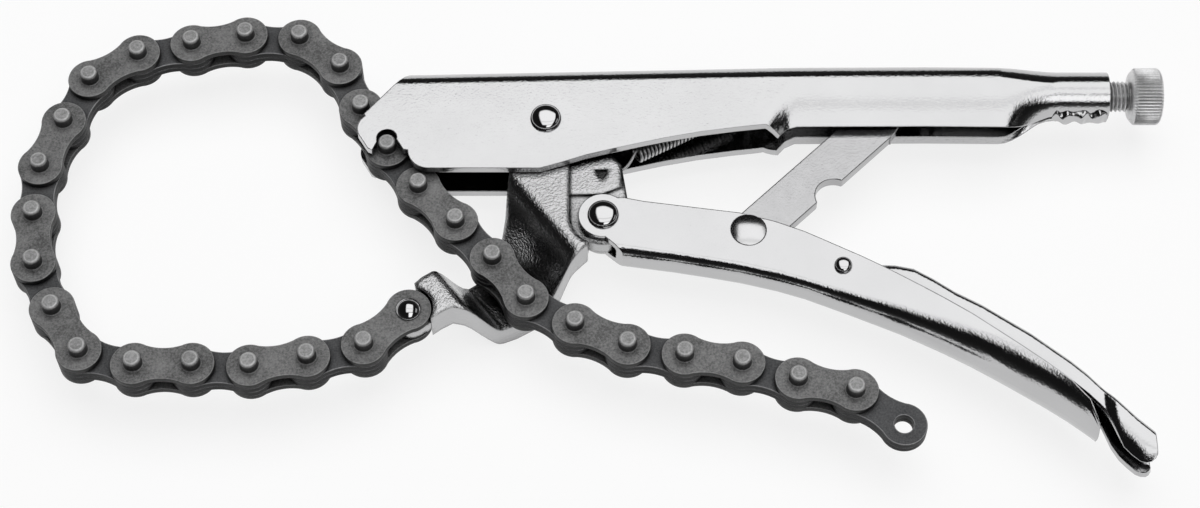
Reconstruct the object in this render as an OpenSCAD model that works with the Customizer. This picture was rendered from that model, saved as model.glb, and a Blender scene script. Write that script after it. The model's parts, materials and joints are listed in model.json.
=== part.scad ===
// Locking chain wrench with a leaf chain: two pressed handles, a cranked forged
// jaw, an over-centre link with a set screw, a release lever and thirty links.
// The tool lies on its side: X runs along the upper handle to the set screw, Y
// across the tool, Z up through every pivot. Sizes in millimetres.
// Inside the modules the jaw pivot is at [0, 0, 0], on the tool's middle plane.

/* [Chain] */
// Distance from pin to pin
chain_pitch = 15.875; // [15:0.125:17]
// Diameter of a chain pin
pin_d = 5.08; // [4.4:0.02:5.6]
// Length of a chain pin, which stands out on both sides
pin_len = 15.2; // [14:0.1:15.4]
// Height of a link plate at its round ends
plate_h = 12.8; // [11:0.1:13.4]
// Height of a link plate at its waist
plate_waist = 9.6; // [7:0.1:10.5]
// Thickness of one link plate
plate_t = 2; // [1.6:0.05:2.1]
// Gap between neighbouring plates
plate_gap = 0.1; // [0.05:0.01:0.15]
// Radial clearance of a pin in an inner plate
pin_play = 0.06; // [0.02:0.01:0.1]

/* [Upper body] */
// Half of the outside width of the upper body
body_half = 7.8; // [7.6:0.05:8.6]
// Sheet thickness of the upper body
body_t = 2.5; // [1.8:0.05:2.55]
// Outer bend radius along the top of the upper body
body_bend = 6; // [4:0.1:6.2]
// Y of the flat lower edges of the hook plates
hook_low = -16.5; // [-19:0.1:-15]
// Play of the hooked pin in its notch
notch_play = 0.35; // [0.2:0.05:0.8]
// X of the rear end of the upper body
body_end = 163; // [158:0.5:168]
// Outer diameter of the rolled rear end
tube_d = 14.1; // [13.8:0.1:15.5]
// Y of the set screw's axis
screw_y = 12.5; // [12:0.1:12.8]

/* [Lower jaw] */
// Half of the thickness of the jaw forging
jaw_half = 4.95; // [4.4:0.05:5.1]
// Half of the thickness of the lug between the handle's ears
lug_half = 2.5; // [2:0.05:2.6]
// Half of the thickness of the boss that takes the spring
boss_half = 3.8; // [3:0.1:4.4]
// Half of the thickness of the tongue in the first link
tongue_half = 1.95; // [1.5:0.05:2]
// Depth of the cranked arm's top below the middle plane
crank_top = 8.8; // [8.3:0.1:10]
// Thickness of the cranked arm under the chain
crank_t = 8; // [6:0.1:9]
// Diameter of the jaw pivot rivet
jaw_rivet_d = 6.4; // [5:0.1:7.5]
// Diameter of the handle pivot rivet
handle_rivet_d = 6; // [4.5:0.1:7]

/* [Lower handle] */
// Half of the handle's outside width at its ears
ear_half = 5; // [4.95:0.05:5.2]
// Half of the handle's outside width at its end
tail_half = 9; // [8:0.1:9.4]
// Sheet thickness of the lower handle
handle_t = 2.2; // [1.8:0.05:2.3]
// Radius of the handle's round ears
ear_r = 7; // [6:0.1:7.4]
// Radial clearance of a rivet in a part that turns on it
rivet_play = 0.06; // [0.02:0.01:0.1]
// Sheet thickness of the release lever
lever_t = 1.6; // [1.2:0.05:1.8]
// Side clearance of the release lever in the handle
lever_play = 0.35; // [0.2:0.05:0.6]

/* [Link and screw] */
// Half of the thickness of the toggle link
link_half = 1.9; // [1.5:0.05:2]
// Width of the toggle link
link_w = 12.8; // [11:0.1:13.4]
// Radius of the link's end at the screw
link_tip_r = 4; // [3.4:0.1:4.2]
// Gap between the link's end and the screw's point
tip_gap = 1.15; // [1:0.05:1.4]
// Outer diameter of the set screw's thread
screw_d = 9; // [8.4:0.1:9.1]
// Radial clearance of the screw in the rolled end
screw_play = 0.08; // [0.03:0.01:0.1]
// Diameter of the knob
knob_d = 16.5; // [15:0.1:18]
// Length of the knob
knob_l = 8.8; // [7:0.1:11]
// Distance of the knob from the rolled end
knob_gap = 6.6; // [4:0.1:9]

/* [Spring] */
// Outside diameter of the return spring
spring_d = 5; // [4:0.1:6]
// Wire diameter of the return spring
spring_wire = 0.9; // [0.6:0.05:1.1]
// Number of coils
spring_turns = 26; // [16:1:30]

/* [View] */
// Node to draw

/* [Hidden] */
$fn = 48;

// Pivots on the middle plane: handle, link, lever, link end and chain anchor
pivot_handle = [16.4, -30.4];
pivot_link = [57.2, -35.2];
pivot_lever = [83.2, -47];
link_end = [104, 11];
anchor = [-37.4, -60.2];

// Heading of each link along the chain as it lies, in whole degrees
heading = [-138, -166, -170, -182, -180, -195, -237, -245, -264, -271,
  -289, -293, -326, -347, -350, -363, -399, -425, -419, -414,
  -407, -408, -413, -391, -384, -371, -369, -378, -373, -396];
// Position of pin number i, from the anchor along the links
function pin_at(i) = i == 0 ? anchor :
  pin_at(i - 1) + chain_pitch * [cos(heading[i - 1]), sin(heading[i - 1])];
pins = [for (i = [0:30]) pin_at(i)];
hook_pin = 19;
notch = pins[hook_pin] + [0, 0.9];

// Levels of the chain's plates
plate_r = plate_h / 2;
pin_r = pin_d / 2;
inner_z = plate_gap / 2;
outer_z = inner_z + plate_t + plate_gap;
stack_half = outer_z + plate_t;

// The crank crosses the chain at right angles between pins 22 and 23
cross = (pins[22] + pins[23]) / 2;
arm_dir = heading[22] + 270;
crank_low = -crank_top - crank_t;

function blend(a, b, f) = a + (b - a) * f;
function ease(f) = let (g = max(0, min(1, f))) g * g * (3 - 2 * g);
// Value at x along a list of [x, value] points
function along(t, x, i = 0) = i >= len(t) - 2 || x < t[i + 1][0] ?
  blend(t[i][1], t[i + 1][1], (x - t[i][0]) / (t[i + 1][0] - t[i][0])) : along(t, x, i + 1);

// Lower handle: top edges and base line against x
handle_top_line = [[8, -19], [17, -21], [22, -24.6], [25, -25.45], [40, -27.6], [56, -29.8], [63, -31.8],
  [71, -34.7], [81, -39.8], [91, -45], [102, -51.6], [116, -60.6], [130, -71.5], [142, -81.2], [147, -86.5],
  [149.2, -91], [151, -96]];
handle_low_line = [[8, -41], [21, -42.5], [40, -45.3], [60, -49.2], [72, -53], [86, -58.9],
  [100, -65.4], [114, -73.2], [127, -81.3], [140, -90], [146, -94.7], [151, -99]];
handle_end = 150.2;
function handle_half(x) = blend(ear_half, tail_half, ease((x - 70) / 72));
// The wider the handle, the lower its edges and the higher its round base
function handle_top(x) = along(handle_top_line, x) - 0.5 * (handle_half(x) - ear_half);
function handle_base(x) = along(handle_low_line, x) + 0.2 * (handle_half(x) - ear_half);
// Release lever: top line against x
lever_line = [[76, -42.5], [84, -42.6], [93, -44.6], [98, -45], [103, -46.3], [108, -49.6],
  [114, -54.2], [121, -58.2], [134, -67.3], [144, -75.6], [149, -80.4], [154, -86.6], [160, -93.4],
  [166, -99.2]];
lever_from = 77;
tail_x = 164.6;
flare_x = handle_end + 1.2;
function lever_top(x) = along(lever_line, x);

// Place of the tool on its base plane, under the middle of its outline
left_x = min([for (p = pins) p[0]]) - plate_r;
right_x = body_end + knob_gap + knob_l;
top_y = max([for (p = pins) p[1]]) + plate_r;
low_y = min([for (x = [156:0.5:164]) lever_top(x) - 3 - 10.5 * lever_round(x)]);
mid = [(left_x + right_x) / 2, (top_y + low_y) / 2];

module place() {
  translate([-mid[0], -mid[1], -crank_low]) children();
}

// Closed shell from open wall sections: each entry is [x, outer points, inner points]
module wall_loft(s) {
  m = len(s[0][1]);
  n = 2 * m;
  k = len(s);
  pts = [for (a = s) for (i = [0:n - 1])
    let (q = i < m ? a[1][i] : a[2][n - 1 - i]) [a[0], q[0], q[1]]];
  sides = [for (j = [0:k - 2]) for (i = [0:n - 1]) let (a = j * n + i, b = j * n + (i + 1) % n)
    each [[a, b, b + n], [a, b + n, a + n]]];
  front = [for (i = [0:m - 2]) let (c = n - 1 - i) each [[i, c, c - 1], [i, c - 1, i + 1]]];
  e = (k - 1) * n;
  back = [for (i = [0:m - 2]) let (c = n - 1 - i)
    each [[e + i, e + c - 1, e + c], [e + i, e + i + 1, e + c - 1]]];
  polyhedron(points = pts, faces = concat(sides, front, back), convexity = 8);
}

// Half section of the upper body as [y, z, normal y, normal z], from lip to crown
bend_n = 5;
curl_n = 4;
function body_half_section(w, r, top, straight, curl, angle) = concat(
  [for (i = [curl_n:-1:0]) let (a = angle * i / curl_n, q = curl / (angle * PI / 180))
    [straight - q * sin(a), w - q * (1 - cos(a)), -sin(a), cos(a)]],
  [for (i = [0:bend_n]) let (a = 90 * i / bend_n)
    [top - r + r * sin(a), w - r + r * cos(a), sin(a), cos(a)]]);
function mirror_back(h) = concat(h, [for (i = [len(h) - 1:-1:0]) [h[i][0], -h[i][1], h[i][2], -h[i][3]]]);
function walls(x, h, t) = let (f = mirror_back(h))
  [x, [for (p = f) [p[0], p[1]]], [for (p = f) [p[0] - t * p[2], p[1] - t * p[3]]]];
// Upper body at x: plain channel at the hook, curled lips behind, rolled round the screw
tube_r = tube_d / 2;
body_top_line = [[-56, 17.2], [72, 20.2], [110, 20.4], [131, 20.2], [148, screw_y + tube_r]];
function body_section(x) =
  let (c = ease((x - 54) / 18), e = ease((x - 131) / 17),
    top = along(body_top_line, min(x, 148)),
    w = blend(body_half, tube_r, e), r = blend(body_bend, tube_r, e),
    straight = blend(blend(-9, top - r - 0.3, c), screw_y, e),
    curl = blend(blend(8, 15.2, c), tube_r * 86 * PI / 180, e),
    angle = blend(blend(0.4, 24, c), 86, e))
  walls(x, body_half_section(w, r, top, straight, curl, angle), body_t);

// Side outline of the upper body: nose, hook notch and lower edge
module body_outline() {
  difference() {
    union() {
      polygon([[-30, 28.2], [-52.2, 1.6], [-48.9, -3.2], [-45, hook_low + 7],
        [-39, hook_low + 6], [-33.2, hook_low], [-1.5, hook_low], [5, -14.4], [11.5, -12.1],
        [18.5, -10.2], [34, -6.4], [44, -4.4], [54, -2.9], [63, -1.8], [70, -6], [180, -6], [180, 30]]);
      translate([-48.9, -3.2])
        circle(r = 5);
      polygon([[-53.6, -5], [-50.6, -10], [-49.4, -10.6], [-44, -7], [-48, 0]]);
      translate([-33.2, hook_low + 6])
        circle(r = 6);
    }
    translate(notch)
      circle(r = pin_r + notch_play);
    polygon([notch - [pin_r + notch_play, 0], notch + [-pin_r - 0.3, -1.4], notch + [-4.4, -5],
      notch + [-4, -20], notch + [6, -20], notch + [5.9, -5.6], notch + [pin_r + notch_play - 0.1, -0.4]]);
  }
}

// Stops of the loft: long flat runs need two, bends need more
body_stops = [-56, 54, 57, 60, 63, 66, 69, 72, 110, 131, 133, 135, 137, 139, 141, 143, 145.5, 148, body_end];

module upper_body() {
  color([0.75, 0.75, 0.77])
    difference() {
      intersection() {
        wall_loft([for (x = body_stops) body_section(x)]);
        translate([0, 0, -20])
          linear_extrude(height = 40)
            body_outline();
      }
      translate([0, 0, -20])
        cylinder(d = jaw_rivet_d, h = 40);
      translate([104, screw_y, 0])
        rotate([0, 90, 0])
          cylinder(r = screw_d / 2 + screw_play, h = 80);
    }
  // Punched lug that holds the return spring
  color([0.75, 0.75, 0.77])
    translate([spring_to[0] + 1.2, spring_to[1], -body_half + body_t - 0.4])
      cylinder(d = 2.6, h = 2 * (body_half - body_t + 0.4));
}

// Rivet with a dome at both ends of a shank
module dome_rivet(d, half, head_d, head_h) {
  rotate_extrude()
    polygon(concat([[0, -half], [d / 2, -half], [d / 2, half], [0, half]]));
  for (s = [0, 180])
    rotate([s, 0, 0])
      translate([0, 0, half])
        intersection() {
          cylinder(d = head_d, h = head_h);
          translate([0, 0, head_h - dome_r(head_d, head_h)])
            sphere(r = dome_r(head_d, head_h));
        }
}
function dome_r(d, h) = ((d / 2 + 0.01) * (d / 2 + 0.01) + (h - 0.5) * (h - 0.5)) / (2 * (h - 0.5));

module jaw_rivet() {
  color([0.8, 0.8, 0.82])
    dome_rivet(jaw_rivet_d, body_half, 8.8, 2.3);
}

// Outline of the whole forging seen along the pivots
module jaw_outline() {
  polygon([[-9, 6], [-10, -14], [-10.8, -20], [-11.4, -27], [-12.4, -31.5], [-13.9, -38.5],
    [-16.5, -43.2], [-21.5, -46.6], [-26, -47.4], [-30.6, -48.2], [-34, -50.4], [-36, -52.4],
    [-34, -58], [-31, -63.4], [-28.6, -61.6], [-25.5, -59.8], [-22, -60.4], [-18, -61.2],
    [-13.5, -60.6], [-8, -58.4], [-3.5, -55.8], [-0.4, -54], [3, -49.8], [7.2, -44.6],
    [12, -39.8], [14, -30], [8, -14], [9, 4], [6, 9], [-5, 9]]);
  circle(r = 9.6);
}

// Side profile of the arm along its own line: down under the chain and up again
function dip(u, a, b, c, d) = ease((u - a) / (b - a)) * (1 - ease((u - c) / (d - c)));
side_step = 1.25;
function arm_top(u) = blend(jaw_half, -crank_top,
  dip(u, -plate_r - 14.6, -plate_r + 1.4, plate_r + 1, plate_r + 10));
function arm_low(u) = blend(-jaw_half, crank_low, dip(u, -19, -7.5, 7.5, 17));
module arm_profile() {
  polygon(concat([for (i = [-48:1:32]) [i * side_step, arm_top(i * side_step)]],
    [for (i = [32:-1:-48]) [i * side_step, arm_low(i * side_step)]]));
}

module lower_jaw() {
  color([0.7, 0.7, 0.72])
    difference() {
      union() {
        // Forged block and cranked arm, less the pocket for the handle's ears
        difference() {
          intersection() {
            translate([0, 0, -30])
              linear_extrude(height = 60)
                jaw_outline();
            translate(cross)
              rotate([0, 0, arm_dir])
                rotate([90, 0, 0])
                  translate([0, 0, -50])
                    linear_extrude(height = 100)
                      arm_profile();
          }
          translate([anchor[0], anchor[1], -30])
            cylinder(r = plate_r + 0.5, h = 60);
          for (s = [0, 1])
            mirror([0, 0, s])
              translate([0, 0, lug_half])
                linear_extrude(height = 20) {
                  translate(pivot_handle)
                    circle(r = ear_r + 2.6);
                  translate([pivot_handle[0] - ear_r - 2.6, pivot_handle[1]])
                    square([30, 40]);
                }
        }
        // Lug for the handle pivot
        translate([0, 0, -lug_half])
          linear_extrude(height = 2 * lug_half) {
            translate(pivot_handle)
              circle(r = ear_r + 1);
            polygon([[4, -12], [21.6, -12], [24, -28], [10, -39]]);
          }
        // Boss that takes the return spring
        translate([0, 0, -boss_half])
          linear_extrude(height = 2 * boss_half)
            polygon([[2, -8], [17, -8], [21.6, -13], [21.6, -20.2], [16, -22.7], [5, -23], [2, -20]]);
        // Tongue in the first chain link
        translate([0, 0, -tongue_half])
          linear_extrude(height = 2 * tongue_half) {
            translate(anchor)
              circle(r = plate_r - 0.3);
            polygon([anchor + [2, 5.6], [-30, -51], [-27, -60], anchor + [3.4, -5]]);
          }
      }
      translate([0, 0, -20])
        cylinder(r = jaw_rivet_d / 2 + rivet_play, h = 40);
      translate([pivot_handle[0], pivot_handle[1], -20])
        cylinder(r = handle_rivet_d / 2 + rivet_play, h = 40);
      translate([anchor[0], anchor[1], -20])
        cylinder(r = pin_r + pin_play, h = 40);
      // Three-cornered hole that the spring hooks into
      translate([wire_from[0] - 0.8, wire_from[1] - 0.2, -20])
        linear_extrude(height = 40)
          polygon([[-2, 1.6], [2, 1.6], [0.4, -1.8]]);
      // Way out of the hole for the spring's wire
      translate([wire_from[0], wire_from[1], 0])
        rotate([0, 0, atan2(wire_out[1] - wire_from[1], wire_out[0] - wire_from[0])])
          rotate([0, 90, 0])
            cylinder(d = spring_wire + 0.5, h = 10);
    }
}

module handle_rivet() {
  color([0.8, 0.8, 0.82])
    translate([pivot_handle[0], pivot_handle[1], 0])
      dome_rivet(handle_rivet_d, ear_half, 8.8, 2.2);
}

// Lower handle section: two walls on a rounded web
web_n = 5;
function handle_section(x) =
  let (w = handle_half(x), r = blend(3.2, w - 0.1, ease((x - 68) / 52)), b = handle_base(x),
    t = handle_top(x), flat = t > b + r + 0.4, from = flat ? 0 : asin((b + r - t) / r),
    k = flat ? web_n : web_n + 1)
  walls(x, concat(flat ? [[t, w, 0, 1]] : [], [for (i = [0:k]) let (a = from + (90 - from) * i / k)
    [b + r - r * sin(a), w - r + r * cos(a), -sin(a), cos(a)]]), handle_t);
handle_stops = [8, 17, 22, 28, 36, 46, 55, 65, 73, 78, 84, 89, 94, 99, 105, 111, 118,
  124, 131, 137, 143, 147.6, handle_end];

module lower_handle() {
  color([0.75, 0.75, 0.77])
    difference() {
      wall_loft([for (x = handle_stops) handle_section(x)]);
      translate([0, 0, -20])
        linear_extrude(height = 40)
          difference() {
            polygon([[0, 0], [28, -18], [23, -24.6], pivot_handle + [-1, ear_r - 1.6],
              pivot_handle + [-1, 1.4 - ear_r], [19.4, -39.6], [21.8, -42], [21.8, -120], [0, -120]]);
            translate(pivot_handle)
              circle(r = ear_r);
          }
      translate([pivot_handle[0], pivot_handle[1], -20])
        cylinder(d = handle_rivet_d, h = 40);
      translate([pivot_link[0], pivot_link[1], -20])
        cylinder(d = link_rivet_d, h = 40);
      for (s = [0, 1])
        mirror([0, 0, s])
          translate([pivot_link[0], pivot_link[1], ear_half - link_head_h])
            cylinder(d = link_head_d, h = 10);
      translate([pivot_lever[0], pivot_lever[1], -20])
        cylinder(d = lever_rivet_d, h = 40);
    }
}

// Nearly flush rivet of the toggle link
link_rivet_d = 6.2;
link_head_d = 10;
link_head_h = 1.3;
link_dome = 0.7;
link_dome_r = (link_head_d * link_head_d / 4 + link_dome * link_dome) / (2 * link_dome);
module link_rivet() {
  color([0.8, 0.8, 0.82])
    translate([pivot_link[0], pivot_link[1], 0])
      rotate_extrude()
        intersection() {
          polygon([[0, -ear_half - 2], [link_head_d / 2, -ear_half - 2],
            [link_head_d / 2, -ear_half + link_head_h], [link_rivet_d / 2, -ear_half + link_head_h],
            [link_rivet_d / 2, ear_half - link_head_h], [link_head_d / 2, ear_half - link_head_h],
            [link_head_d / 2, ear_half + 2], [0, ear_half + 2]]);
          translate([0, ear_half + link_dome - link_dome_r])
            circle(r = link_dome_r);
          translate([0, link_dome_r - ear_half - link_dome])
            circle(r = link_dome_r);
        }
}

lever_rivet_d = 3.2;
module lever_rivet() {
  color([0.8, 0.8, 0.82])
    translate([pivot_lever[0], pivot_lever[1], 0])
      dome_rivet(lever_rivet_d, handle_half(pivot_lever[0]) + 0.15, 4.9, 1.5);
}

// Toggle link along its own line, with the thumb notch on its lower edge
link_run = link_end - pivot_link;
link_len = norm(link_run);
link_dir = atan2(link_run[1], link_run[0]);
module toggle_link() {
  color([0.72, 0.72, 0.74])
    translate([pivot_link[0], pivot_link[1], -link_half])
      rotate([0, 0, link_dir])
        linear_extrude(height = 2 * link_half)
          difference() {
            union() {
              circle(d = link_w);
              translate([0, -link_w / 2])
                square([link_len - 13, link_w]);
              polygon([[link_len - 13.1, -link_w / 2], [link_len + 0.6, -link_tip_r],
                [link_len + 0.6, link_tip_r], [link_len - 13.1, link_w / 2]]);
              translate([link_len, 0])
                circle(r = link_tip_r);
            }
            circle(r = link_rivet_d / 2 + rivet_play);
            translate([27, -link_w / 2 - 1.8])
              circle(r = 5.4);
          }
}

// Release lever: a channel open below, inside the handle, flared at the tail
function lever_in(x) = min(handle_half(x) - handle_t - lever_play, 0.57 * tail_half);
function lever_half(x) = blend(lever_in(min(x, handle_end)), tail_half - 2.4, ease((x - flare_x) / 4));
function lever_round(x) = sqrt(1 - pow(max(0, (x - 158) / 7.2), 2));
function lever_depth(x) = blend(7, 7.2, ease((x - 90) / 30));
function lever_section(x) = let (f = ease((x - flare_x) / 5), w = lever_half(x), r = min(2.4, w - 0.4),
    t = lever_top(x), d = blend(lever_depth(x), 3 + 10.5 * lever_round(x), f), c = blend(4, d - 4.6, f),
    angle = blend(0.4, 32, f), drop = c * sin(angle) / (angle * PI / 180))
  walls(x, body_half_section(w, r, t, t - d + drop, c, angle), lever_t);
lever_stops = [lever_from, 84, 89, 93, 98, 103, 108, 114, 121, 127, 134, 139, 144, 148, 151, 152.4,
  153.4, 154.4, 156, 158, 160, 161.5, 163, 164, tail_x];

module release_lever() {
  color([0.75, 0.75, 0.77])
    difference() {
      wall_loft([for (x = lever_stops) lever_section(x)]);
      translate([pivot_lever[0], pivot_lever[1], -20])
        cylinder(r = lever_rivet_d / 2 + rivet_play, h = 40);
    }
}

// Set screw: a plain point that bears on the link, a threaded shank and a knob
point_x = link_end[0] + link_tip_r + tip_gap;
point_d = 5.6;
point_l = 3.2;
module screw_point() {
  color([0.6, 0.6, 0.62])
    translate([point_x, screw_y, 0])
      rotate([0, 90, 0])
        rotate_extrude()
          polygon([[0, 0], [point_d / 2 - 0.6, 0], [point_d / 2, 0.6], [point_d / 2, point_l],
            [0, point_l]]);
}

knob_from = body_end + knob_gap;
module adjusting_screw() {
  color([0.6, 0.6, 0.62])
    translate([0, screw_y, 0])
      rotate([0, 90, 0])
        rotate_extrude()
          polygon([[0, point_x + point_l + 0.05], [screw_d / 2 - 0.8, point_x + point_l + 0.05],
            [screw_d / 2, point_x + point_l + 0.85], [screw_d / 2, knob_from],
            [knob_d / 2 - 1.4, knob_from], [knob_d / 2 - 0.5, knob_from + 1.2],
            [knob_d / 2, knob_from + 1.7], [knob_d / 2, knob_from + knob_l - 0.6],
            [knob_d / 2 - 0.6, knob_from + knob_l], [0, knob_from + knob_l]]);
}

// Return spring from the boss to the lug in the upper body
spring_from = [19.5, -11];
spring_to = [58, 9.5];
spring_run = spring_to - spring_from;
spring_len = norm(spring_run);
spring_seg = 6;
hook_len = 9;
// Hook of the wire in the boss, and where it leaves the boss
wire_from = [16.6, -16];
wire_out = [21.5, -12.9];
module return_spring() {
  wr = spring_wire / 2;
  cr = spring_d / 2 - wr;
  body = spring_len - 1.4 * hook_len;
  n = spring_turns * 10;
  d1 = spring_run / spring_len;
  path = concat([for (q = [wire_from + [0.9, 0.57], wire_out, [23.4, -11.1], [24.5, -9.4]]) [q[0], q[1], 0]],
    [for (i = [0:n]) let (a = 360 * i / 10, f = hook_len * 0.8 + body * i / n)
      [spring_from[0] + f * d1[0] - cr * sin(a) * d1[1], spring_from[1] + f * d1[1] + cr * sin(a) * d1[0],
        cr * cos(a)]],
    [for (f = [spring_len - hook_len * 0.3, spring_len])
      [spring_from[0] + f * d1[0], spring_from[1] + f * d1[1], 0]]);
  k = len(path);
  color([0.7, 0.7, 0.72])
    polyhedron(points = [for (j = [0:k - 1])
        let (d0 = path[min(k - 1, j + 1)] - path[max(0, j - 1)], d = d0 / norm(d0),
          s0 = cross_of(d, abs(d[2]) > 0.8 ? [0, 1, 0] : [0, 0, 1]), s = s0 / norm(s0),
          u = cross_of(s, d))
        for (i = [0:spring_seg - 1]) let (a = 360 * i / spring_seg)
          path[j] + wr * (cos(a) * s + sin(a) * u)],
      faces = concat([[for (i = [spring_seg - 1:-1:0]) i]],
        [for (j = [0:k - 2]) for (i = [0:spring_seg - 1])
          let (a = j * spring_seg + i, b = j * spring_seg + (i + 1) % spring_seg)
          each [[a, b, b + spring_seg], [a, b + spring_seg, a + spring_seg]]],
        [[for (i = [0:spring_seg - 1]) (k - 1) * spring_seg + i]]), convexity = 10);
}
function cross_of(a, b) = [a[1] * b[2] - a[2] * b[1], a[2] * b[0] - a[0] * b[2], a[0] * b[1] - a[1] * b[0]];

// Link plate with round ends and a waist, pin to pin along X
waist = plate_waist / 2;
waist_r = (chain_pitch * chain_pitch / 4 + waist * waist - (plate_r - 0.06) * (plate_r - 0.06))
  / (2 * (plate_r - 0.06 - waist));
module plate_shape(hole_r) {
  difference() {
    union() {
      circle(r = plate_r);
      translate([chain_pitch, 0])
        circle(r = plate_r);
      difference() {
        translate([0, -plate_r + 0.4])
          square([chain_pitch, plate_h - 0.8]);
        for (s = [-1, 1])
          translate([chain_pitch / 2, s * (waist_r + waist)])
            circle(r = waist_r);
      }
    }
    for (x = [0, chain_pitch])
      translate([x, 0])
        circle(r = hole_r);
  }
}

module on_link(i) {
  translate([pins[i][0], pins[i][1], 0])
    rotate([0, 0, heading[i]])
      children();
}

module chain_pin() {
  rotate_extrude()
    polygon([[0, -pin_len / 2], [pin_r - 0.5, -pin_len / 2], [pin_r, -pin_len / 2 + 0.5],
      [pin_r, pin_len / 2 - 0.5], [pin_r - 0.5, pin_len / 2], [0, pin_len / 2]]);
}

// Outer link number k: two plates on their two pins, the first on the anchor rivet
module outer_link(k) {
  color([0.32, 0.33, 0.35])
    on_link(2 * k - 2) {
      for (s = [0, 1])
        mirror([0, 0, s])
          translate([0, 0, outer_z])
            linear_extrude(height = plate_t)
              plate_shape(pin_r);
      translate([chain_pitch, 0, 0])
        chain_pin();
      if (k > 1)
        chain_pin();
    }
}

// Inner link number k: two plates side by side that turn on the pins
module inner_link(k) {
  color([0.32, 0.33, 0.35])
    on_link(2 * k - 1)
      for (s = [0, 1])
        mirror([0, 0, s])
          translate([0, 0, inner_z])
            linear_extrude(height = plate_t)
              plate_shape(pin_r + pin_play);
}

module chain_anchor_rivet() {
  color([0.5, 0.5, 0.52])
    translate([anchor[0], anchor[1], 0])
      dome_rivet(pin_d, stack_half, 7, 2.2);
}

place() {
  upper_body();
  jaw_rivet();
  lower_jaw();
  handle_rivet();
  lower_handle();
  link_rivet();
  lever_rivet();
  toggle_link();
  release_lever();
  screw_point();
  adjusting_screw();
  return_spring();
  chain_anchor_rivet();
  outer_link(1);  // outer_link_01
  outer_link(2);  // outer_link_02
  outer_link(3);  // outer_link_03
  outer_link(4);  // outer_link_04
  outer_link(5);  // outer_link_05
  outer_link(6);  // outer_link_06
  outer_link(7);  // outer_link_07
  outer_link(8);  // outer_link_08
  outer_link(9);  // outer_link_09
  outer_link(10);  // outer_link_10
  outer_link(11);  // outer_link_11
  outer_link(12);  // outer_link_12
  outer_link(13);  // outer_link_13
  outer_link(14);  // outer_link_14
  outer_link(15);  // outer_link_15
  inner_link(1);  // inner_link_01
  inner_link(2);  // inner_link_02
  inner_link(3);  // inner_link_03
  inner_link(4);  // inner_link_04
  inner_link(5);  // inner_link_05
  inner_link(6);  // inner_link_06
  inner_link(7);  // inner_link_07
  inner_link(8);  // inner_link_08
  inner_link(9);  // inner_link_09
  inner_link(10);  // inner_link_10
  inner_link(11);  // inner_link_11
  inner_link(12);  // inner_link_12
  inner_link(13);  // inner_link_13
  inner_link(14);  // inner_link_14
  inner_link(15);  // inner_link_15
}
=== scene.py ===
"""Looks of a locking chain wrench: plated sheet and forging, dark leaf chain, zinc screw."""

import json
import math

import bmesh
import bpy
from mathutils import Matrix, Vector


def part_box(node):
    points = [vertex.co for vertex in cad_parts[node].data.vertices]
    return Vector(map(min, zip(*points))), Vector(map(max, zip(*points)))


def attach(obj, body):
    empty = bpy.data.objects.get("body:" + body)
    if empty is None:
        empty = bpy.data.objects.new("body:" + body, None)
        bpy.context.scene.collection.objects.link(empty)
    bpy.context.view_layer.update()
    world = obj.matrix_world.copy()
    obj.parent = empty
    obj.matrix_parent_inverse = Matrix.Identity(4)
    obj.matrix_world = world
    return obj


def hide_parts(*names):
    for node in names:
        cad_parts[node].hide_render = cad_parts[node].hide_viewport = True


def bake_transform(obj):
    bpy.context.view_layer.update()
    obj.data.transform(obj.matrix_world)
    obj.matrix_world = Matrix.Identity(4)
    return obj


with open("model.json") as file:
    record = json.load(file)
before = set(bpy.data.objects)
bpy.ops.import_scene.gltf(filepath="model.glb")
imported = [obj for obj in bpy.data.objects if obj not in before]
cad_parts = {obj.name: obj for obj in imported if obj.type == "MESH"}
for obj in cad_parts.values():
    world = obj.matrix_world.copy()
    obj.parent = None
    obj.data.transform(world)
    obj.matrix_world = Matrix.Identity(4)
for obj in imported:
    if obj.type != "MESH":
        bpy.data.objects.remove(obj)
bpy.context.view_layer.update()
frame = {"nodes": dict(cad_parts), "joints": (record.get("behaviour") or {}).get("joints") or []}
nodes = frame["nodes"]
scene = bpy.context.scene
scene.view_settings.view_transform = "Standard"

MM = 0.001
JOINTS = {j["name"]: j for j in frame["joints"]}
# Tool coordinates in millimetres have the jaw pivot at their origin
ORIGIN = Vector(JOINTS["jaw_pivot"]["pos_m"])


def at(x, y, z=0.0):
    """A point in tool millimetres, in the row frame."""
    return ORIGIN + MM * Vector((x, y, z))


def pivot_mm(joint):
    """Tool coordinates of a hinge."""
    p = (Vector(JOINTS[joint]["pos_m"]) - ORIGIN) / MM
    return p.x, p.y


def ring(bm, count, point):
    """A closed row of vertices, from a function of the angle."""
    return [bm.verts.new(point(2 * math.pi * k / count)) for k in range(count)]


def skin(bm, loops):
    """Faces between rows of vertices that have the same count, with both ends closed."""
    count = len(loops[0])
    for a, b in zip(loops, loops[1:]):
        for i in range(count):
            k = (i + 1) % count
            bm.faces.new((a[i], a[k], b[k], b[i]))
    bm.faces.new(loops[0])
    bm.faces.new(loops[-1])


def add_piece(name, bm, material):
    """A smooth-shaded object from a bmesh."""
    mesh = bpy.data.meshes.new(name)
    bmesh.ops.recalc_face_normals(bm, faces=bm.faces)
    bm.to_mesh(mesh)
    bm.free()
    for p in mesh.polygons:
        p.use_smooth = True
    obj = bpy.data.objects.new(name, mesh)
    scene.collection.objects.link(obj)
    mesh.materials.append(material)
    return obj


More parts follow.
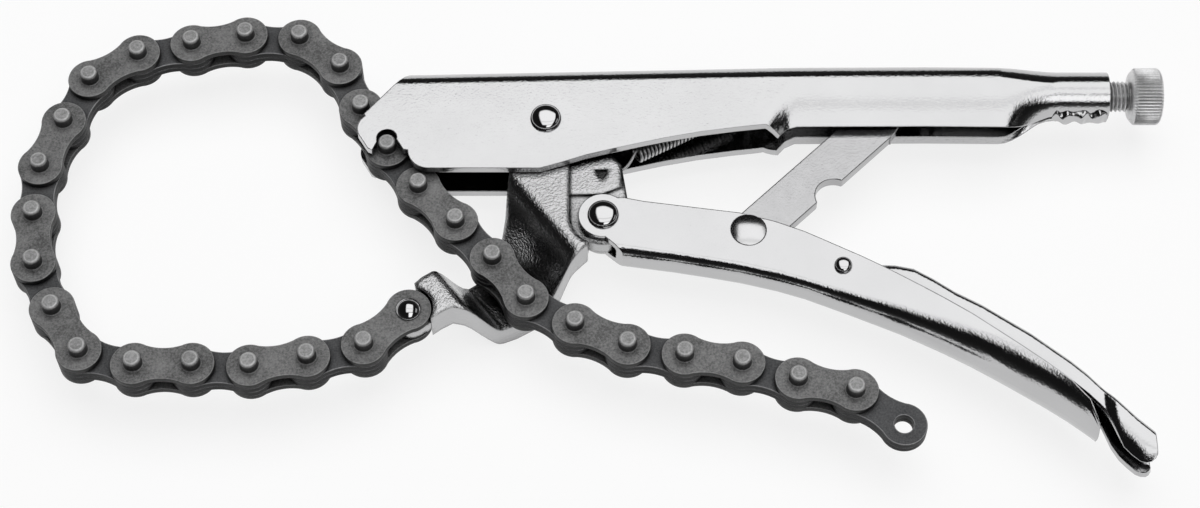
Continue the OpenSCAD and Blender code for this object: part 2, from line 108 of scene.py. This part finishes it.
class Nodes:
    """Short ways to add and join nodes of one tree."""

    AO_SAMPLES = 8

    def __init__(self, tree):
        self.tree = tree

    def add(self, kind):
        return self.tree.nodes.new(kind)

    def join(self, a, b):
        self.tree.links.new(a, b)

    def noise(self, vector, scale, detail, rough):
        n = self.add("ShaderNodeTexNoise")
        n.inputs["Scale"].default_value = scale
        n.inputs["Detail"].default_value = detail
        n.inputs["Roughness"].default_value = rough
        self.join(vector, n.inputs["Vector"])
        return n.outputs["Fac"]

    def span(self, value, low, high, to_low, to_high, smooth=False):
        n = self.add("ShaderNodeMapRange")
        n.interpolation_type = "SMOOTHSTEP" if smooth else "LINEAR"
        keys = ("From Min", "From Max", "To Min", "To Max")
        for key, v in zip(keys, (low, high, to_low, to_high)):
            n.inputs[key].default_value = v
        self.join(value, n.inputs["Value"])
        return n.outputs["Result"]

    def ramp(self, value, stops):
        """A colour by value; each stop has a position and a grey or a colour."""
        n = self.add("ShaderNodeValToRGB")
        e = n.color_ramp.elements
        while len(e) < len(stops):
            e.new(0.5)
        for el, (pos, tone) in zip(e, stops):
            el.position = pos
            el.color = (*tone, 1.0) if isinstance(tone, tuple) else (tone, tone, tone, 1.0)
        self.join(value, n.inputs["Fac"])
        return n.outputs["Color"]

    def math(self, op, a, b=None):
        n = self.add("ShaderNodeMath")
        n.operation = op
        for i, v in enumerate((a, b)):
            if v is None:
                continue
            if isinstance(v, (int, float)):
                n.inputs[i].default_value = v
            else:
                self.join(v, n.inputs[i])
        return n.outputs["Value"]

    def mix(self, factor, a, b):
        """Colour a where the factor is 0 and b where it is 1, each a socket or a colour."""
        n = self.add("ShaderNodeMix")
        n.data_type = "RGBA"
        self.join(factor, n.inputs["Factor"])
        for key, v in (("A", a), ("B", b)):
            socket = next(s for s in n.inputs if s.name == key and s.type == "RGBA")
            if isinstance(v, tuple):
                socket.default_value = (*v, 1.0)
            else:
                self.join(v, socket)
        return next(s for s in n.outputs if s.type == "RGBA")

    def scale(self, colour, factor):
        n = self.add("ShaderNodeVectorMath")
        n.operation = "SCALE"
        self.join(colour, n.inputs[0])
        self.join(factor, n.inputs["Scale"])
        return n.outputs["Vector"]

    def part(self, vector, axis):
        """One coordinate of a vector."""
        n = self.add("ShaderNodeSeparateXYZ")
        self.join(vector, n.inputs[0])
        return n.outputs[axis]

    def paint_hollow_shade(self, shade_reach, low, high, dark):
        """Painted shade in corners and hollows: dark where hardly any open space is near, else 1.
        """
        n = self.add("ShaderNodeAmbientOcclusion")
        n.samples = self.AO_SAMPLES
        n.inputs["Distance"].default_value = shade_reach
        return self.span(n.outputs["AO"], low, high, dark, 1.0)

    def paint_steep_shade(self, low, high, dark):
        """Painted shade: 1 on level faces, darker on steep ones."""
        normal = self.add("ShaderNodeNewGeometry").outputs["Normal"]
        return self.span(self.math("ABSOLUTE", self.part(normal, "Z")), low, high, dark, 1.0)

    def bump(self, height, strength, distance, normal=None):
        n = self.add("ShaderNodeBump")
        n.inputs["Strength"].default_value = strength
        n.inputs["Distance"].default_value = distance
        self.join(height, n.inputs["Height"])
        if normal is not None:
            self.join(normal, n.inputs["Normal"])
        return n.outputs["Normal"]


def new_material(name):
    m = bpy.data.materials.new(name)
    m.use_nodes = True
    n = Nodes(m.node_tree)
    shader = m.node_tree.nodes["Principled BSDF"]
    place = n.add("ShaderNodeTexCoord").outputs["Object"]
    return m, n, shader, place


# Noises: scale per metre, detail and roughness, and the part of their range in use
PLATE_WAVES = (45.0, 3.0, 0.5)
PLATE_CLOUDS = (240.0, 4.0, 0.6)
PLATE_GRAIN = (1500.0, 2.0, 0.6)
STEEL_CLOUDS = (130.0, 3.0, 0.55)
STEEL_SPECKS = (1700.0, 4.0, 0.65)
NOISE_RANGE = (0.3, 0.7)
SPECK_RANGE = (0.38, 0.62)
SPECK_SHARE = 0.6
# Painted shade in hollows: openness that counts as closed and as open, and the share of colour
# left when closed
PLATE_SHADE_REACH = 12 * MM
PLATE_HOLLOW_SHADE = (0.2, 0.7, 0.06)
STEEL_HOLLOW_SHADE = (0.25, 0.85, 0.22)
# Painted shade on the steep faces of dark steel, by the upward part of their normal
STEEP_SHADE_RANGE = (0.3, 0.95)
# Bumps
WAVE_HEIGHT = 2 * MM
GRAIN_HEIGHT = 0.2 * MM
SPECK_BUMP = 0.25
PLATE_DIM = 0.95
BEVEL_SAMPLES = 12


def plated(name, tone, rough, wave, grain, edge):
    """Bright plate: soft waves from pressing or forging, fine grain, small roughness changes, and
    painted shade in hollows.
    """
    m, n, s, place = new_material(name)
    s.inputs["Metallic"].default_value = 1.0
    waves = n.noise(place, *PLATE_WAVES)
    dim = tuple(c * PLATE_DIM for c in tone)
    colour = n.ramp(waves, list(zip(NOISE_RANGE, (dim, tone))))
    # Base colour with painted shade in hollows, channels and contact lines
    n.join(n.scale(colour, n.paint_hollow_shade(PLATE_SHADE_REACH, *PLATE_HOLLOW_SHADE)), s.inputs["Base Color"])
    clouds = n.noise(place, *PLATE_CLOUDS)
    n.join(n.span(clouds, *NOISE_RANGE, *rough), s.inputs["Roughness"])
    rounding = n.add("ShaderNodeBevel")
    rounding.samples = BEVEL_SAMPLES
    rounding.inputs["Radius"].default_value = edge * MM
    normal = n.bump(waves, wave, WAVE_HEIGHT, rounding.outputs["Normal"])
    grains = n.noise(place, *PLATE_GRAIN)
    n.join(n.bump(grains, grain, GRAIN_HEIGHT, normal), s.inputs["Normal"])
    return m


sheet = plated("chrome_sheet", (0.51, 0.51, 0.515), (0.08, 0.13), 0.05, 0.26, 0.4)
forging = plated("chrome_forging", (0.49, 0.49, 0.495), (0.14, 0.20), 0.05, 0.8, 2.2)
link_bar = plated("chrome_bar", (0.42, 0.42, 0.425), (0.16, 0.24), 0.05, 0.3, 0.4)
dome = plated("rivet_chrome", (0.54, 0.54, 0.545), (0.05, 0.09), 0.02, 0.01, 0.2)
flush = plated("rivet_flush", (0.54, 0.54, 0.545), (0.12, 0.16), 0.03, 0.05, 0.2)

# The chain's outer plates end here, and its pin tips stand out above them
STACK_TOP = 4.2 * MM
TIP_FROM = STACK_TOP + 0.1 * MM


def dark_steel(
    name, tones, rough, metallic, steep_shade=0.22, gloss=0.12, shade_reach=4.0, tip_tones=None
):
    """Phosphated steel: speckled dark grey with an oily sheen, its own tones on pin tips, and
    painted shade in hollows and on steep faces.
    """
    m, n, s, place = new_material(name)
    s.inputs["Metallic"].default_value = metallic
    s.inputs["Specular IOR Level"].default_value = gloss
    specks = n.noise(place, *STEEL_SPECKS)
    clouds = n.noise(place, *STEEL_CLOUDS)
    mixed = n.math(
        "ADD",
        n.math("MULTIPLY", specks, SPECK_SHARE),
        n.math("MULTIPLY", clouds, 1.0 - SPECK_SHARE),
    )
    colour = n.ramp(mixed, list(zip(SPECK_RANGE, tones)))
    if tip_tones is not None:
        off = n.math("ABSOLUTE", n.math("SUBTRACT", n.part(place, "Z"), ORIGIN.z))
        is_tip = n.math("GREATER_THAN", off, TIP_FROM)
        colour = n.mix(is_tip, colour, n.ramp(mixed, list(zip(SPECK_RANGE, tip_tones))))
    # Painted shade: the colour is darker in hollows, then darker on steep faces
    colour = n.scale(colour, n.paint_hollow_shade(shade_reach * MM, *STEEL_HOLLOW_SHADE))
    colour = n.scale(colour, n.paint_steep_shade(*STEEP_SHADE_RANGE, steep_shade))
    n.join(colour, s.inputs["Base Color"])
    n.join(n.span(clouds, *NOISE_RANGE, *rough), s.inputs["Roughness"])
    n.join(n.bump(specks, SPECK_BUMP, GRAIN_HEIGHT), s.inputs["Normal"])
    return m


# Inner plates are darker than the outer ones as painted shade between the outer plates
INNER_SHADED_TONES = ((0.050, 0.051, 0.053), (0.105, 0.106, 0.109))
# Rim tones go on the bevelled edges of the chain plates as a painted highlight
INNER_RIM_HIGHLIGHT_TONES = ((0.19, 0.19, 0.195), (0.30, 0.30, 0.305))
OUTER_TONES, OUTER_TIPS = (0.080, 0.225), (0.18, 0.38)
OUTER_RIM_HIGHLIGHT_TONES, OUTER_RIM_HIGHLIGHT_TIPS = (0.17, 0.29), (0.34, 0.52)
ZINC_TONES = ((0.62, 0.62, 0.625), (0.80, 0.80, 0.805))
WIRE_TONES = ((0.50, 0.50, 0.505), (0.68, 0.68, 0.685))
OUTER_ROUGH = (0.36, 0.52)
BRIGHT_ROUGH = (0.26, 0.36)

inner_plate = dark_steel("chain_plate", INNER_SHADED_TONES, (0.40, 0.54), 0.35)
inner_rim_highlight = dark_steel("chain_rim_highlight", INNER_RIM_HIGHLIGHT_TONES, (0.32, 0.44), 0.5)
outer_plate = dark_steel(
    "chain_plate_pins", OUTER_TONES, OUTER_ROUGH, 0.4, tip_tones=OUTER_TIPS
)
outer_rim_highlight = dark_steel(
    "chain_pins_rim_highlight", OUTER_RIM_HIGHLIGHT_TONES, OUTER_ROUGH, 0.4, tip_tones=OUTER_RIM_HIGHLIGHT_TIPS
)
zinc = dark_steel("screw_zinc", ZINC_TONES, BRIGHT_ROUGH, 0.55, steep_shade=1.0, gloss=0.5)
# A wide shade reach paints shade on the coil deep in the channel
wire = dark_steel(
    "spring_wire", WIRE_TONES, BRIGHT_ROUGH, 0.7, steep_shade=1.0, gloss=0.5, shade_reach=14.0
)

WELD_REACH = 2e-6
FLAT_ANGLE = math.radians(0.4)
FACE_WEIGHT = 60


def dress(name, material, bevel, angle=34.0, rim_highlight=None, segments=2, clamp=True):
    """Weld, join coplanar triangles and round the edges of a CAD node, its mesh untouched."""
    obj = nodes[name]
    mesh = obj.data
    if "custom_normal" in mesh.attributes:
        mesh.attributes.remove(mesh.attributes["custom_normal"])
    mesh.materials.clear()
    mesh.materials.append(material)
    if rim_highlight is not None:
        mesh.materials.append(rim_highlight)
    for p in mesh.polygons:
        p.use_smooth = True
        p.material_index = 0
    weld = obj.modifiers.new("weld", "WELD")
    weld.merge_threshold = WELD_REACH
    flat = obj.modifiers.new("flat", "DECIMATE")
    flat.decimate_type = "DISSOLVE"
    flat.angle_limit = FLAT_ANGLE
    b = obj.modifiers.new("bevel", "BEVEL")
    b.width = bevel * MM
    b.segments = segments
    b.limit_method = "ANGLE"
    b.angle_limit = math.radians(angle)
    b.harden_normals = True
    b.use_clamp_overlap = clamp
    # The bevel's faces take the second material, a painted highlight on the edges
    if rim_highlight is not None:
        b.material = 1
    weighted = obj.modifiers.new("normals", "WEIGHTED_NORMAL")
    weighted.keep_sharp = False
    weighted.weight = FACE_WEIGHT


dress("upper_body", sheet, 0.3, segments=3)
dress("lower_handle", sheet, 0.45, segments=3)
dress("release_lever", sheet, 0.35, segments=3)
dress("lower_jaw", forging, 0.2, 24.0)
dress("toggle_link", link_bar, 0.4, clamp=False)
dress("link_rivet", flush, 0.15)
dress("chain_anchor_rivet", dome, 0.15)
dress("screw_point", zinc, 0.2)
for name in nodes:
    if name.startswith("outer_link"):
        dress(name, outer_plate, 0.32, rim_highlight=outer_rim_highlight)
    elif name.startswith("inner_link"):
        dress(name, inner_plate, 0.32, rim_highlight=inner_rim_highlight)

# Button-headed rivets
RIVET_AROUND = 48
HEAD_RINGS = 24
HEAD_RIM = 0.35
HEAD_TIP_R = 0.02
FLAT_POWER = 2.8
SHOULDER_POWER = 1 / 2.2
SHANK_SHARE = 0.62
RIVET_SHARP = math.radians(50)
# Each rivet with the body it rides on, its hinge and the height of its heads
RIVETS = (
    ("jaw_rivet", "upper_body", "jaw_pivot", 2.3),
    ("handle_rivet", "lower_handle", "handle_pivot", 2.2),
    ("lever_rivet", "lower_handle", "lever_pivot", 1.5),
)


def rivet_piece(name, centre, half, head_r, head_h):
    """A head with a flat middle and round shoulders on both ends of a shank."""
    shank_r = SHANK_SHARE * head_r
    rows = [(shank_r, 0.0), (shank_r, half), (head_r, half)]
    for k in range(HEAD_RINGS + 1):
        f = 1.0 - k / HEAD_RINGS
        rise = (1.0 - f**FLAT_POWER) ** SHOULDER_POWER if f < 1 else 0.0
        rows.append((max(head_r * f, HEAD_TIP_R), half + HEAD_RIM + (head_h - HEAD_RIM) * rise))
    rows = [(r, -z) for r, z in reversed(rows[1:])] + rows
    bm = bmesh.new()
    cx, cy = centre
    loops = []
    for r, z in rows:
        loops.append(
            ring(bm, RIVET_AROUND, lambda a: at(cx + r * math.cos(a), cy + r * math.sin(a), z))
        )
    skin(bm, loops)
    obj = add_piece(name + "_button", bm, dome)
    obj.data.set_sharp_from_angle(angle=RIVET_SHARP)
    return obj


for name, body, joint, head_h in RIVETS:
    low_mm, high_mm = (Vector(v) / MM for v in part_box(name))
    tall = (high_mm.z - low_mm.z) / 2
    head_r = (high_mm.x - low_mm.x) / 2
    button = rivet_piece(name, pivot_mm(joint), tall - head_h, head_r, head_h)
    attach(button, body)
    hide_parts(name)

# Screw with its thread and knurled knob, along X
SCREW_Y = 12.5
SCREW_R = 4.5
THREAD_PITCH = 1.25
THREAD_DEPTH = 0.8
THREAD_POWER = 1.3
THREAD_STEP = THREAD_PITCH / 10
SHANK_FROM = 112.4
SHANK_CHAMFER = 0.8
THREAD_FROM = 158.0
KNOB_FROM = 169.6
KNOB_END = 178.4
KNOB_R = 8.25
NECK_R = SCREW_R - 0.7
TEETH = 52
TOOTH_DEPTH = 0.6
AROUND = TEETH * 6
SCREW_SHARP = math.radians(42)
# Rings of the screw before and after its thread: x, radius and share of the knurl's depth
SHANK_RINGS = (
    (SHANK_FROM, SCREW_R - SHANK_CHAMFER, 0),
    (SHANK_FROM + SHANK_CHAMFER, SCREW_R, 0),
    (THREAD_FROM, SCREW_R, 0),
)
KNOB_RINGS = (
    (KNOB_FROM - 0.5, NECK_R, 0),
    (KNOB_FROM, NECK_R, 0),
    (KNOB_FROM, KNOB_R - 1.5, 0),
    (KNOB_FROM + 0.25, KNOB_R - 1.1, 0),
    (KNOB_FROM + 0.9, KNOB_R - 0.45, 0.35),
    (KNOB_FROM + 1.3, KNOB_R, 1),
    (KNOB_END - 1.0, KNOB_R, 1),
    (KNOB_END - 0.4, KNOB_R - 0.4, 0.4),
    (KNOB_END - 0.1, KNOB_R - 0.85, 0),
    (KNOB_END, KNOB_R - 1.2, 0),
    (KNOB_END, 0.6, 0),
)


def thread_radius(x, turn):
    f = (x / THREAD_PITCH - turn) % 1.0
    return SCREW_R - THREAD_DEPTH * (1.0 - abs(2.0 * f - 1.0)) ** THREAD_POWER


def knurl_radius(r, share, turn):
    f = (turn * TEETH) % 1.0
    return r - TOOTH_DEPTH * share * abs(2.0 * f - 1.0)


def screw_ring(bm, x, radius):
    """A row of vertices across the screw, from the radius at each part of a turn."""
    loop = []
    for i in range(AROUND):
        turn = i / AROUND
        r, a = radius(turn), 2 * math.pi * turn
        loop.append(bm.verts.new(at(x, SCREW_Y + r * math.cos(a), r * math.sin(a))))
    return loop


def screw_piece():
    bm = bmesh.new()
    loops = [screw_ring(bm, x, lambda t: knurl_radius(r, k, t)) for x, r, k in SHANK_RINGS]
    x = THREAD_FROM + 0.1
    while x < KNOB_FROM - 0.7:
        loops.append(screw_ring(bm, x, lambda t: thread_radius(x, t)))
        x += THREAD_STEP
    loops += [screw_ring(bm, x, lambda t: knurl_radius(r, k, t)) for x, r, k in KNOB_RINGS]
    skin(bm, loops)
    return add_piece("adjusting_screw_threaded", bm, zinc)


screw = screw_piece()
screw.data.set_sharp_from_angle(angle=SCREW_SHARP)
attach(screw, "adjusting_screw")
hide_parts("adjusting_screw")

# Return spring as a smooth coil between the body and the jaw
SPRING_FROM = Vector((19.5, -11, 0))
SPRING_TO = Vector((58, 9.5, 0))
SPRING_R = 2.05
WIRE_R = 0.45
WIRE_AROUND = 8
TURNS = 26
TURN_STEPS = 20
COIL_FROM = 7.2
COIL_SHORTER = 12.6
# The wire leaves the boss and bends up into the coil
SPRING_HOOK = (
    (17.5, -15.43, 0),
    (20.0, -13.85, 0),
    (21.5, -12.9, 0),
    (22.6, -12.0, 0),
    (23.6, -10.9, 0.15),
    (24.3, -9.9, 0.5),
    (24.9, -8.9, 1.1),
    (25.4, -8.1, 1.7),
)
# Shares of the straight end, from the coil to the body's lug
SPRING_END = (0.25, 0.5, 0.75, 1.0)


def spring_path():
    along = SPRING_TO - SPRING_FROM
    length = along.length
    x_dir = along.normalized()
    z_dir = Vector((0, 0, 1))
    y_dir = z_dir.cross(x_dir)
    coil = length - COIL_SHORTER
    steps = TURNS * TURN_STEPS
    local = []
    for i in range(steps + 1):
        a = 2 * math.pi * i / TURN_STEPS
        x = COIL_FROM + coil * i / steps
        local.append((x, SPRING_R * math.sin(a), SPRING_R * math.cos(a)))
    end = COIL_FROM + coil
    local += [(end + f * (length - end), 0.0, SPRING_R * (1 - f) ** 2) for f in SPRING_END]
    path = [SPRING_FROM + x_dir * a + y_dir * b + z_dir * c for a, b, c in local]
    return [Vector(q) for q in SPRING_HOOK] + path


def tube(path, radius, around):
    """A round wire along a path, its rows of vertices carried on without a twist."""
    bm = bmesh.new()
    loops = []
    up = Vector((0, 0, 1))
    for i, p in enumerate(path):
        d = (path[min(i + 1, len(path) - 1)] - path[max(i - 1, 0)]).normalized()
        side = d.cross(up).normalized()
        up = side.cross(d).normalized()
        loops.append(
            ring(bm, around, lambda a: at(*(p + radius * (math.cos(a) * side + math.sin(a) * up))))
        )
    skin(bm, loops)
    return bm


spring = add_piece("return_spring_coil", tube(spring_path(), WIRE_R, WIRE_AROUND), wire)
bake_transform(spring)
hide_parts("return_spring")

# Crimped seam where the rolled end's lips meet, with the lengths of its uneven waves
SEAM_FROM = 146.5
SEAM_TO = 162.6
SEAM_Y = SCREW_Y - 7.0
SEAM_STEPS = 90
SEAM_AROUND = 20
SEAM_HALF_Y = 1.35
SEAM_HALF_Z = 2.3
SEAM_SQUARE = 0.8
SEAM_WAVE = 4.7
SEAM_RIPPLE = 2.9
SEAM_SWAY = 6.1


def wave_at(x, length, phase=0.0):
    return math.sin(2 * math.pi * x / length + phase)


def squared(value):
    """A sine or cosine that is drawn out towards a square's corners."""
    return math.copysign(abs(value) ** SEAM_SQUARE, value)


def seam_piece():
    bm = bmesh.new()
    loops = []
    for i in range(SEAM_STEPS + 1):
        x = SEAM_FROM + (SEAM_TO - SEAM_FROM) * i / SEAM_STEPS
        ripple = wave_at(x, SEAM_RIPPLE, 2.0)
        taper = min(1.0, (x - SEAM_FROM) / 1.6 + 0.25, (SEAM_TO - x) / 0.5 + 0.6)
        half_z = (SEAM_HALF_Z + 0.5 * wave_at(x, SEAM_WAVE, 0.6) + 0.2 * ripple) * taper
        half_y = (SEAM_HALF_Y + 0.4 * wave_at(x, SEAM_WAVE, 2.1)) * taper
        mid_y = SEAM_Y + 0.15 * ripple
        mid_z = 0.35 * wave_at(x, SEAM_SWAY)
        loops.append(
            ring(
                bm,
                SEAM_AROUND,
                lambda a: at(
                    x,
                    mid_y + half_y * squared(math.cos(a)),
                    mid_z + half_z * squared(math.sin(a)),
                ),
            )
        )
    skin(bm, loops)
    return add_piece("crimped_seam", bm, sheet)


seam = seam_piece()
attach(seam, "upper_body")

# Floor of pale paper, which the camera and the metal see as nearly white
FLOOR_HALF = 3.0
PAPER_TONE = 0.94
PAPER_ROUGH = 0.9
GLOW_TONE = 0.98
GLOW_SHARE = 0.82
floor_mesh = bpy.data.meshes.new("floor")
CORNERS = [(x * FLOOR_HALF, y * FLOOR_HALF, 0) for x, y in ((-1, -1), (1, -1), (1, 1), (-1, 1))]
floor_mesh.from_pydata(CORNERS, [], [(0, 1, 2, 3)])
floor = bpy.data.objects.new("floor", floor_mesh)
scene.collection.objects.link(floor)
paper = bpy.data.materials.new("floor_paper")
paper.use_nodes = True
paper_shader = paper.node_tree.nodes["Principled BSDF"]
paper_shader.inputs["Base Color"].default_value = (PAPER_TONE, PAPER_TONE, PAPER_TONE, 1)
paper_shader.inputs["Roughness"].default_value = PAPER_ROUGH
paper_shader.inputs["Specular IOR Level"].default_value = 0.0
pn = Nodes(paper.node_tree)
path = pn.add("ShaderNodeLightPath")
shown = pn.math("MAXIMUM", path.outputs["Is Camera Ray"], path.outputs["Is Glossy Ray"])
shown = pn.math("MAXIMUM", shown, path.outputs["Is Transmission Ray"])
glow = pn.add("ShaderNodeEmission")
glow.inputs["Color"].default_value = (GLOW_TONE, GLOW_TONE, GLOW_TONE, 1)
both = pn.add("ShaderNodeMixShader")
pn.join(pn.math("MULTIPLY", shown, GLOW_SHARE), both.inputs[0])
pn.join(paper_shader.outputs[0], both.inputs[1])
pn.join(glow.outputs[0], both.inputs[2])
pn.join(both.outputs[0], paper.node_tree.nodes["Material Output"].inputs[0])
floor_mesh.materials.append(paper)

# Studio: bright rectangles on a dark ceiling, and a pale rim at the horizon
HORIZON = ((0.0, 0.92), (0.10, 0.90), (0.15, 0.12), (0.30, 0.03), (0.5, 0.014), (1.0, 0.01))
LEVEL = 0.02
SIDE_SOFT = 0.06
# Slopes to the back (low, high) and to the right (low, high), softness and strength
CEILING = (
    (-1.45, -0.45, 0.08, 0.7, 0.08, 1.8),
    (-0.38, 0.87, -0.28, 0.62, 0.08, 1.55),
    (0.07, 0.16, -0.28, 0.62, 0.06, 1.1),
    (-0.3, 0.5, 1.2, 1.9, 0.08, 0.5),
)
world = bpy.data.worlds.new("studio")
scene.world = world
world.use_nodes = True
w = Nodes(world.node_tree)
ray = w.add("ShaderNodeTexCoord").outputs["Generated"]
up = w.math("MAXIMUM", w.part(ray, "Z"), LEVEL)
lean = w.math("DIVIDE", w.part(ray, "Y"), up)
wide = w.math("DIVIDE", w.part(ray, "X"), up)


def between(value, low, high, soft):
    """1 between two values, with soft ends."""
    rise = w.span(value, low - soft, low + soft, 0.0, 1.0, True)
    return w.math("MULTIPLY", rise, w.span(value, high - soft, high + soft, 1.0, 0.0, True))


sky = w.ramp(w.part(ray, "Z"), HORIZON)
for lean_low, lean_high, wide_low, wide_high, soft, strength in CEILING:
    inside = w.math(
        "MULTIPLY",
        between(lean, lean_low, lean_high, soft),
        between(wide, wide_low, wide_high, SIDE_SOFT),
    )
    sky = w.mix(inside, sky, (strength, strength, strength))
w.join(sky, world.node_tree.nodes["Background"].inputs["Color"])

# A weak lamp overhead, which the metal doesn't mirror
LAMP_SIZE = (1.6, 1.2)
LAMP_WATTS = 10.0
LAMP_AT = (0.0, 0.35, 1.1)
LAMP_TILT = math.radians(-17)
lamp = bpy.data.lights.new("overhead", "AREA")
lamp.shape = "RECTANGLE"
lamp.size, lamp.size_y = LAMP_SIZE
lamp.energy = LAMP_WATTS
overhead = bpy.data.objects.new("overhead", lamp)
overhead.location = LAMP_AT
overhead.rotation_euler = (LAMP_TILT, 0, 0)
overhead.visible_glossy = False
scene.collection.objects.link(overhead)

# Camera at the photograph's angle
AIM = at(15.52, -44.55, 7.6)
DISTANCE = 0.7227
TILT = math.radians(29.67)
LENS = 78.0
SENSOR = 36.0
cam = bpy.data.cameras.new("camera")
cam.lens = LENS
cam.sensor_width = SENSOR
cam_obj = bpy.data.objects.new("camera", cam)
cam_obj.location = AIM + DISTANCE * Vector((0, -math.sin(TILT), math.cos(TILT)))
cam_obj.rotation_euler = (TILT, 0, 0)
scene.collection.objects.link(cam_obj)
scene.camera = cam_obj
